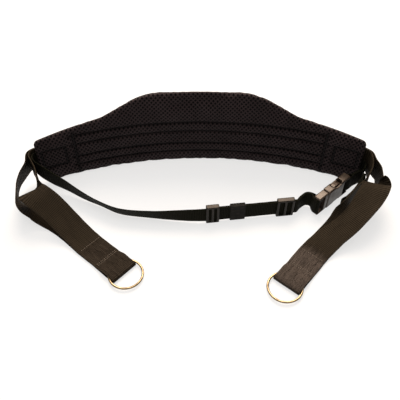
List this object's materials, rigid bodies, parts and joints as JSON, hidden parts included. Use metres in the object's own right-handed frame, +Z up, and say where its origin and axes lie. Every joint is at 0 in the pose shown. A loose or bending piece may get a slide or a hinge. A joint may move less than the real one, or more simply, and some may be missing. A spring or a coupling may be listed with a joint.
{
  "type": "gait belt",
  "caption": "Walking and transfer belt with a padded mesh back panel, a webbing waist strap with side-release buckle and sliders, and webbing hand straps that end in metal rings.",
  "frame": {"origin": "under the middle of the whole belt, on the surface it stands on", "axes": "+Z up; +X from the plain end of the pad to the buckle end; +Y from the buckle side to the pad"},
  "size_m": [0.5172, 0.2608, 0.1255],
  "materials": {
    "air_mesh": "knitted spacer mesh",
    "pad_cloth": "plain woven nylon",
    "foam": "open-cell foam",
    "webbing": "ribbed nylon webbing",
    "handle_webbing": "flat woven nylon webbing",
    "elastic": "knitted elastic",
    "thread": "bonded thread",
    "buckle_plastic": "satin moulded acetal",
    "ring_metal": "polished, pale gold tone"
  },
  "bodies": {
    "pad": {"pad_lining": "air_mesh", "pad_foam": "foam", "pad_shell": "pad_cloth", "back_band_upper": "webbing", "back_band_lower": "webbing", "pad_left_box_stitch": "thread", "pad_right_box_stitch": "thread", "handle_left_outer_end": "handle_webbing", "handle_left_inner_end": "handle_webbing", "handle_right_outer_end": "handle_webbing", "handle_right_inner_end": "handle_webbing", "waist_webbing": "webbing", "waist_webbing_return": "webbing", "buckle_loop_webbing": "webbing", "tab_root_webbing": "webbing", "buckle_tab_webbing": "webbing", "webbing_tail": "webbing", "buckle_female": "buckle_plastic"},
    "buckle_male": {"buckle_male": "buckle_plastic"},
    "latch_upper": {"latch_arm_upper": "buckle_plastic"},
    "latch_lower": {"latch_arm_lower": "buckle_plastic"},
    "slider_left": {"tri_glide_left": "buckle_plastic"},
    "keeper": {"webbing_keeper": "elastic"},
    "slider_right": {"tri_glide_right": "buckle_plastic"},
    "handle_left": {"handle_left_webbing": "handle_webbing", "handle_left_tack_near": "thread", "handle_left_tack_far": "thread"},
    "ring_left": {"ring_left": "ring_metal"},
    "handle_right": {"handle_right_webbing": "handle_webbing", "handle_right_tack_near": "thread", "handle_right_tack_far": "thread"},
    "ring_right": {"ring_right": "ring_metal"}
  },
  "joints": [
    {"name": "buckle_release", "type": "slide", "parent": "pad", "child": "buckle_male", "axis": [-0.7373, -0.6756, 0], "range_m": [0, 0.028], "deforming": ["buckle_loop_webbing", "latch_arm_upper", "latch_arm_lower"]},
    {"name": "latch_squeeze_upper", "type": "hinge", "parent": "buckle_male", "child": "latch_upper", "pos_m": [0.17071, 0.02687, 0.0263], "axis": [-0.6756, 0.7373, 0], "range_deg": [0, 7], "stiffness_Nm_per_rad": 0.3},
    {"name": "latch_squeeze_lower", "type": "hinge", "parent": "buckle_male", "child": "latch_lower", "pos_m": [0.17071, 0.02687, 0.0083], "axis": [0.6756, -0.7373, 0], "range_deg": [0, 7], "stiffness_Nm_per_rad": 0.3},
    {"name": "slider_left_slide", "type": "slide", "parent": "pad", "child": "slider_left", "axis": [0.9926, 0.1213, 0], "range_m": [-0.006, 0.008]},
    {"name": "keeper_slide", "type": "slide", "parent": "pad", "child": "keeper", "axis": [0.9926, 0.1213, 0], "range_m": [-0.006, 0.022]},
    {"name": "slider_right_slide", "type": "slide", "parent": "pad", "child": "slider_right", "axis": [0.9926, 0.1213, 0], "range_m": [-0.018, 0]},
    {"name": "handle_left_swing", "type": "hinge", "parent": "pad", "child": "handle_left", "pos_m": [-0.23054, 0.08341, 0.041], "axis": [0, 0, -1], "range_deg": [0, 25]},
    {"name": "handle_right_swing", "type": "hinge", "parent": "pad", "child": "handle_right", "pos_m": [0.227, 0.08341, 0.041], "axis": [0, 0, 1], "range_deg": [0, 25]},
    {"name": "ring_left_spin", "type": "hinge", "parent": "handle_left", "child": "ring_left", "pos_m": [-0.09533, -0.08809, 0.0037], "axis": [0, 0, 1], "continuous": true},
    {"name": "ring_right_spin", "type": "hinge", "parent": "handle_right", "child": "ring_right", "pos_m": [0.10339, -0.10739, 0.0037], "axis": [0, 0, 1], "continuous": true}
  ],
  "couplings": [
    {"joint": "latch_squeeze_lower", "follows": "latch_squeeze_upper", "ratio": 1}
  ]
}
